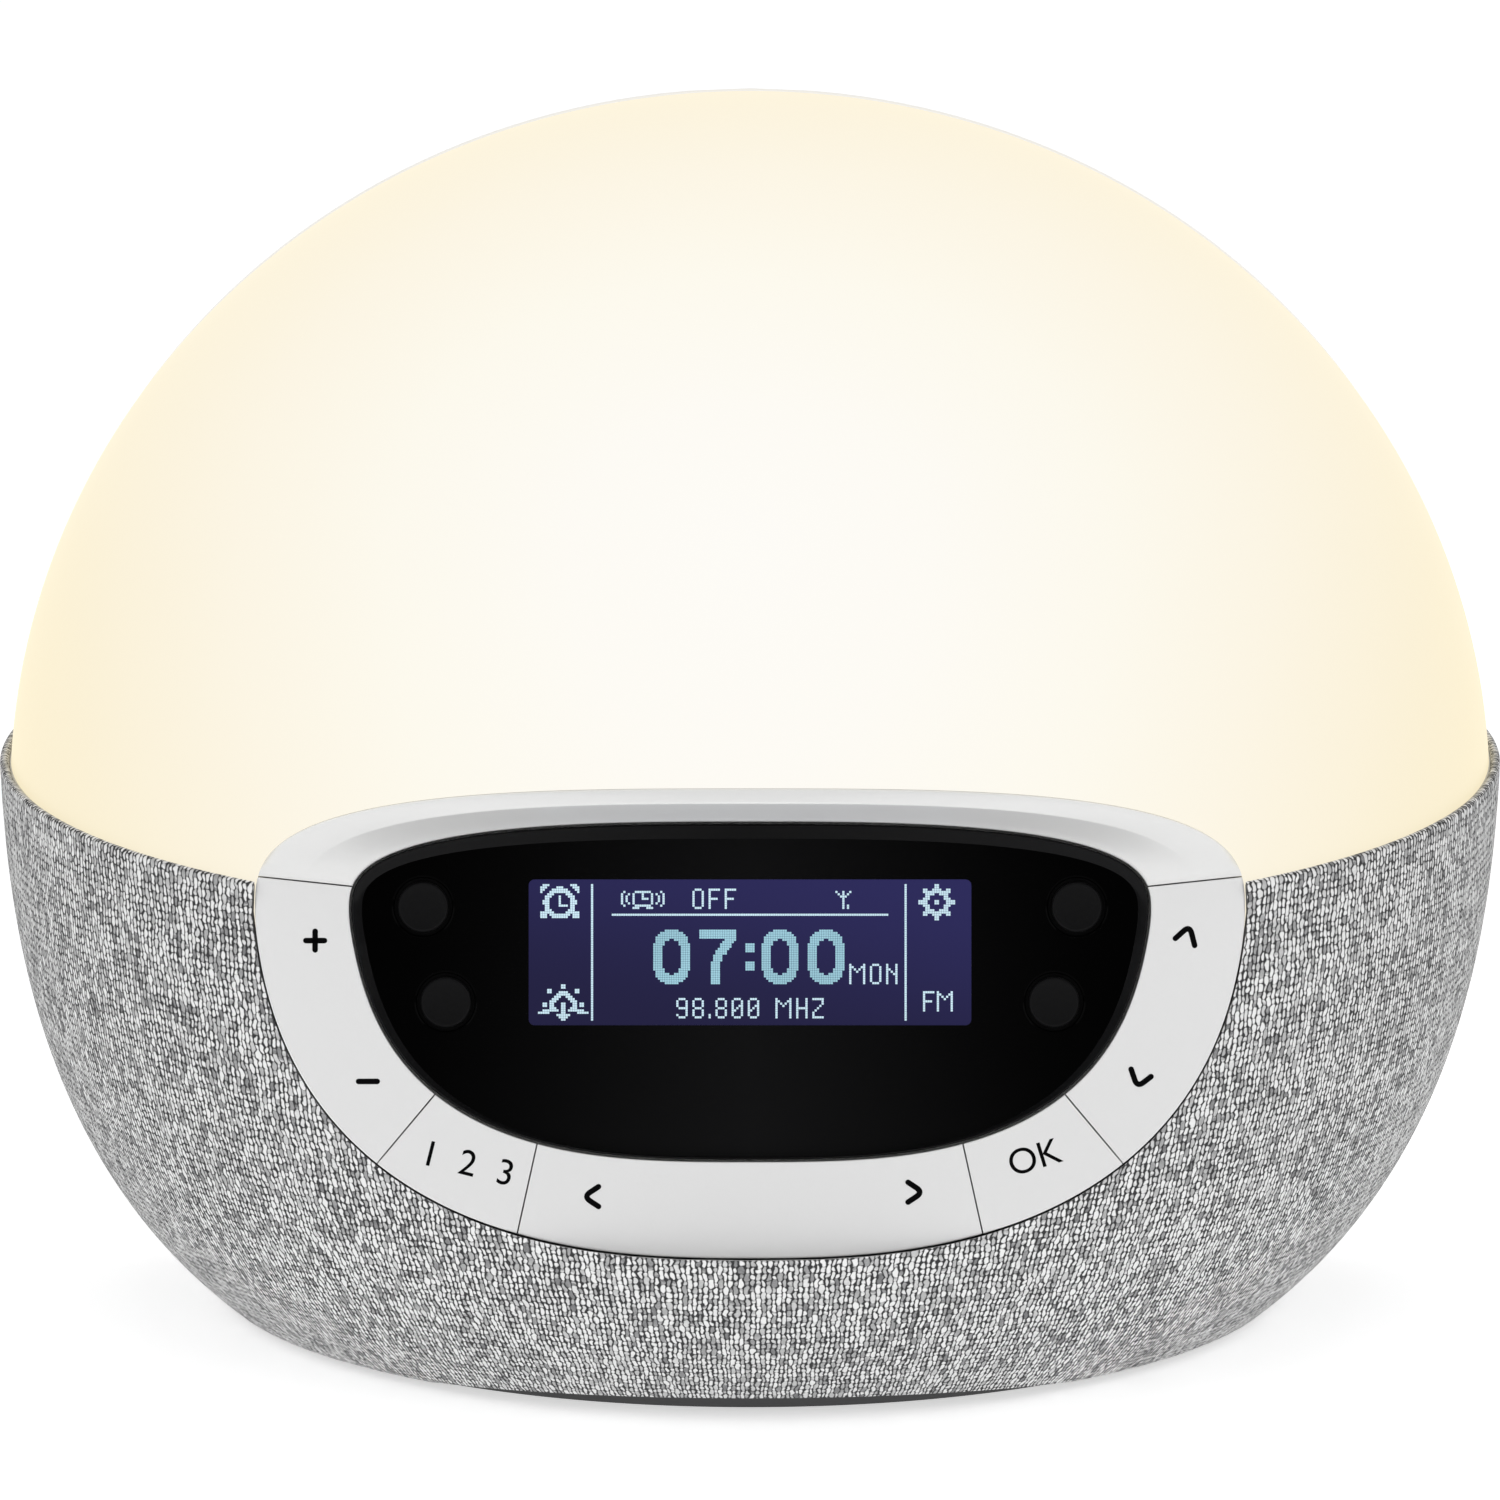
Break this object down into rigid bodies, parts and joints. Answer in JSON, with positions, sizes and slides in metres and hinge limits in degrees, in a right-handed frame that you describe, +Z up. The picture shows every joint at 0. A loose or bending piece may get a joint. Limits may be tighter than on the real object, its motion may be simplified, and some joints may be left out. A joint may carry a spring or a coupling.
{
  "type": "sunrise alarm clock",
  "caption": "Bedside alarm clock with a glowing half-dome lamp on a fabric-covered bowl and a recessed display ringed by rocking keys under a hood.",
  "frame": {"origin": "centre of the axis about which dome and bowl are turned, on the underside of the rubber foot where it meets the table", "axes": "+Z up out of the table, -Y towards the user in front of the display, +X to the user's right"},
  "size_m": [0.21, 0.1242, 0.169],
  "materials": {
    "dome_plastic": "frosted translucent white, lit warm from inside",
    "shell_plastic": "fine texture",
    "woven_fabric": "plain weave of light and dark grey heathered threads",
    "white_plastic": "satin",
    "key_plastic": "satin, printed marks",
    "black_plastic": "fine texture",
    "button_plastic": "satin, softly domed",
    "black_gloss": "polished black with a bright bevel",
    "display_glass": "deep blue display behind clear glass",
    "foot_rubber": "matt",
    "grommet_rubber": "matt",
    "dark_screws": "black oxide",
    "bright_screws": "zinc plated",
    "bright_metal": "stamped sheet",
    "painted_steel": "pressed steel, grey",
    "magnet_iron": "ground ferrite with a plated cup",
    "cone_paper": "pressed paper",
    "circuit_board": "green solder resist",
    "white_board": "white solder resist on aluminium",
    "led_resin": "yellow phosphor resin",
    "sink_aluminium": "extruded, plain",
    "chip_plastic": "moulded black packages",
    "ribbon_plastic": "flat white cable"
  },
  "bodies": {
    "case": {"diffuser_dome": "dome_plastic", "base_shell": "shell_plastic", "fabric_cover": "woven_fabric", "rear_cover": "white_plastic", "base_plate": "black_plastic", "rubber_foot": "foot_rubber", "base_screws": "dark_screws", "rear_screws": "dark_screws", "hood": "white_plastic", "panel_frame": "shell_plastic", "display_window": "black_gloss", "lcd_glass": "display_glass", "lcd_module": "bright_metal", "key_board": "circuit_board", "key_switches": "black_plastic", "key_board_screws": "bright_screws", "panel_screws": "bright_screws", "reflector_tray": "white_plastic", "led_board": "white_board", "leds": "led_resin", "heat_sink": "sink_aluminium", "main_board": "circuit_board", "board_parts": "chip_plastic", "board_screws": "bright_screws", "power_jack": "black_plastic", "speaker_frame": "painted_steel", "speaker_cone": "cone_paper", "speaker_magnet": "magnet_iron", "speaker_screws": "bright_screws", "aerial_grommet": "grommet_rubber", "ribbon_cable": "ribbon_plastic"},
    "left_rocker": {"left_rocker": "key_plastic"},
    "preset_key": {"preset_key": "key_plastic"},
    "bottom_rocker": {"bottom_rocker": "key_plastic"},
    "select_key": {"select_key": "key_plastic"},
    "right_rocker": {"right_rocker": "key_plastic"},
    "upper_left_button": {"upper_left_button": "button_plastic"},
    "lower_left_button": {"lower_left_button": "button_plastic"},
    "upper_right_button": {"upper_right_button": "button_plastic"},
    "lower_right_button": {"lower_right_button": "button_plastic"}
  },
  "joints": [
    {"name": "left_rocker_tilt", "type": "hinge", "parent": "case", "child": "left_rocker", "pos_m": [-0.05565, -0.08067, 0.05877], "axis": [0.9443, 0.0768, 0.32], "range_deg": [-2.5, 2.5], "stiffness_Nm_per_rad": 0.3},
    {"name": "right_rocker_tilt", "type": "hinge", "parent": "case", "child": "right_rocker", "pos_m": [0.05565, -0.08067, 0.05877], "axis": [-0.9443, 0.0768, 0.32], "range_deg": [-2.5, 2.5], "stiffness_Nm_per_rad": 0.3},
    {"name": "bottom_rocker_tilt", "type": "hinge", "parent": "case", "child": "bottom_rocker", "pos_m": [0, -0.08655, 0.03427], "axis": [0, 0.2334, 0.9724], "range_deg": [-1.3, 1.3], "stiffness_Nm_per_rad": 0.6},
    {"name": "preset_key_press", "type": "slide", "parent": "case", "child": "preset_key", "axis": [0, 0.9724, -0.2334], "range_m": [0, 0.0005], "stiffness_N_per_m": 800, "springref_m": -0.0004},
    {"name": "select_key_press", "type": "slide", "parent": "case", "child": "select_key", "axis": [0, 0.9724, -0.2334], "range_m": [0, 0.0005], "stiffness_N_per_m": 800, "springref_m": -0.0004},
    {"name": "upper_left_button_press", "type": "slide", "parent": "case", "child": "upper_left_button", "axis": [0, 0.9724, -0.2334], "range_m": [0, 0.0005], "stiffness_N_per_m": 800, "springref_m": -0.0004},
    {"name": "lower_left_button_press", "type": "slide", "parent": "case", "child": "lower_left_button", "axis": [0, 0.9724, -0.2334], "range_m": [0, 0.0005], "stiffness_N_per_m": 800, "springref_m": -0.0004},
    {"name": "upper_right_button_press", "type": "slide", "parent": "case", "child": "upper_right_button", "axis": [0, 0.9724, -0.2334], "range_m": [0, 0.0005], "stiffness_N_per_m": 800, "springref_m": -0.0004},
    {"name": "lower_right_button_press", "type": "slide", "parent": "case", "child": "lower_right_button", "axis": [0, 0.9724, -0.2334], "range_m": [0, 0.0005], "stiffness_N_per_m": 800, "springref_m": -0.0004}
  ]
}
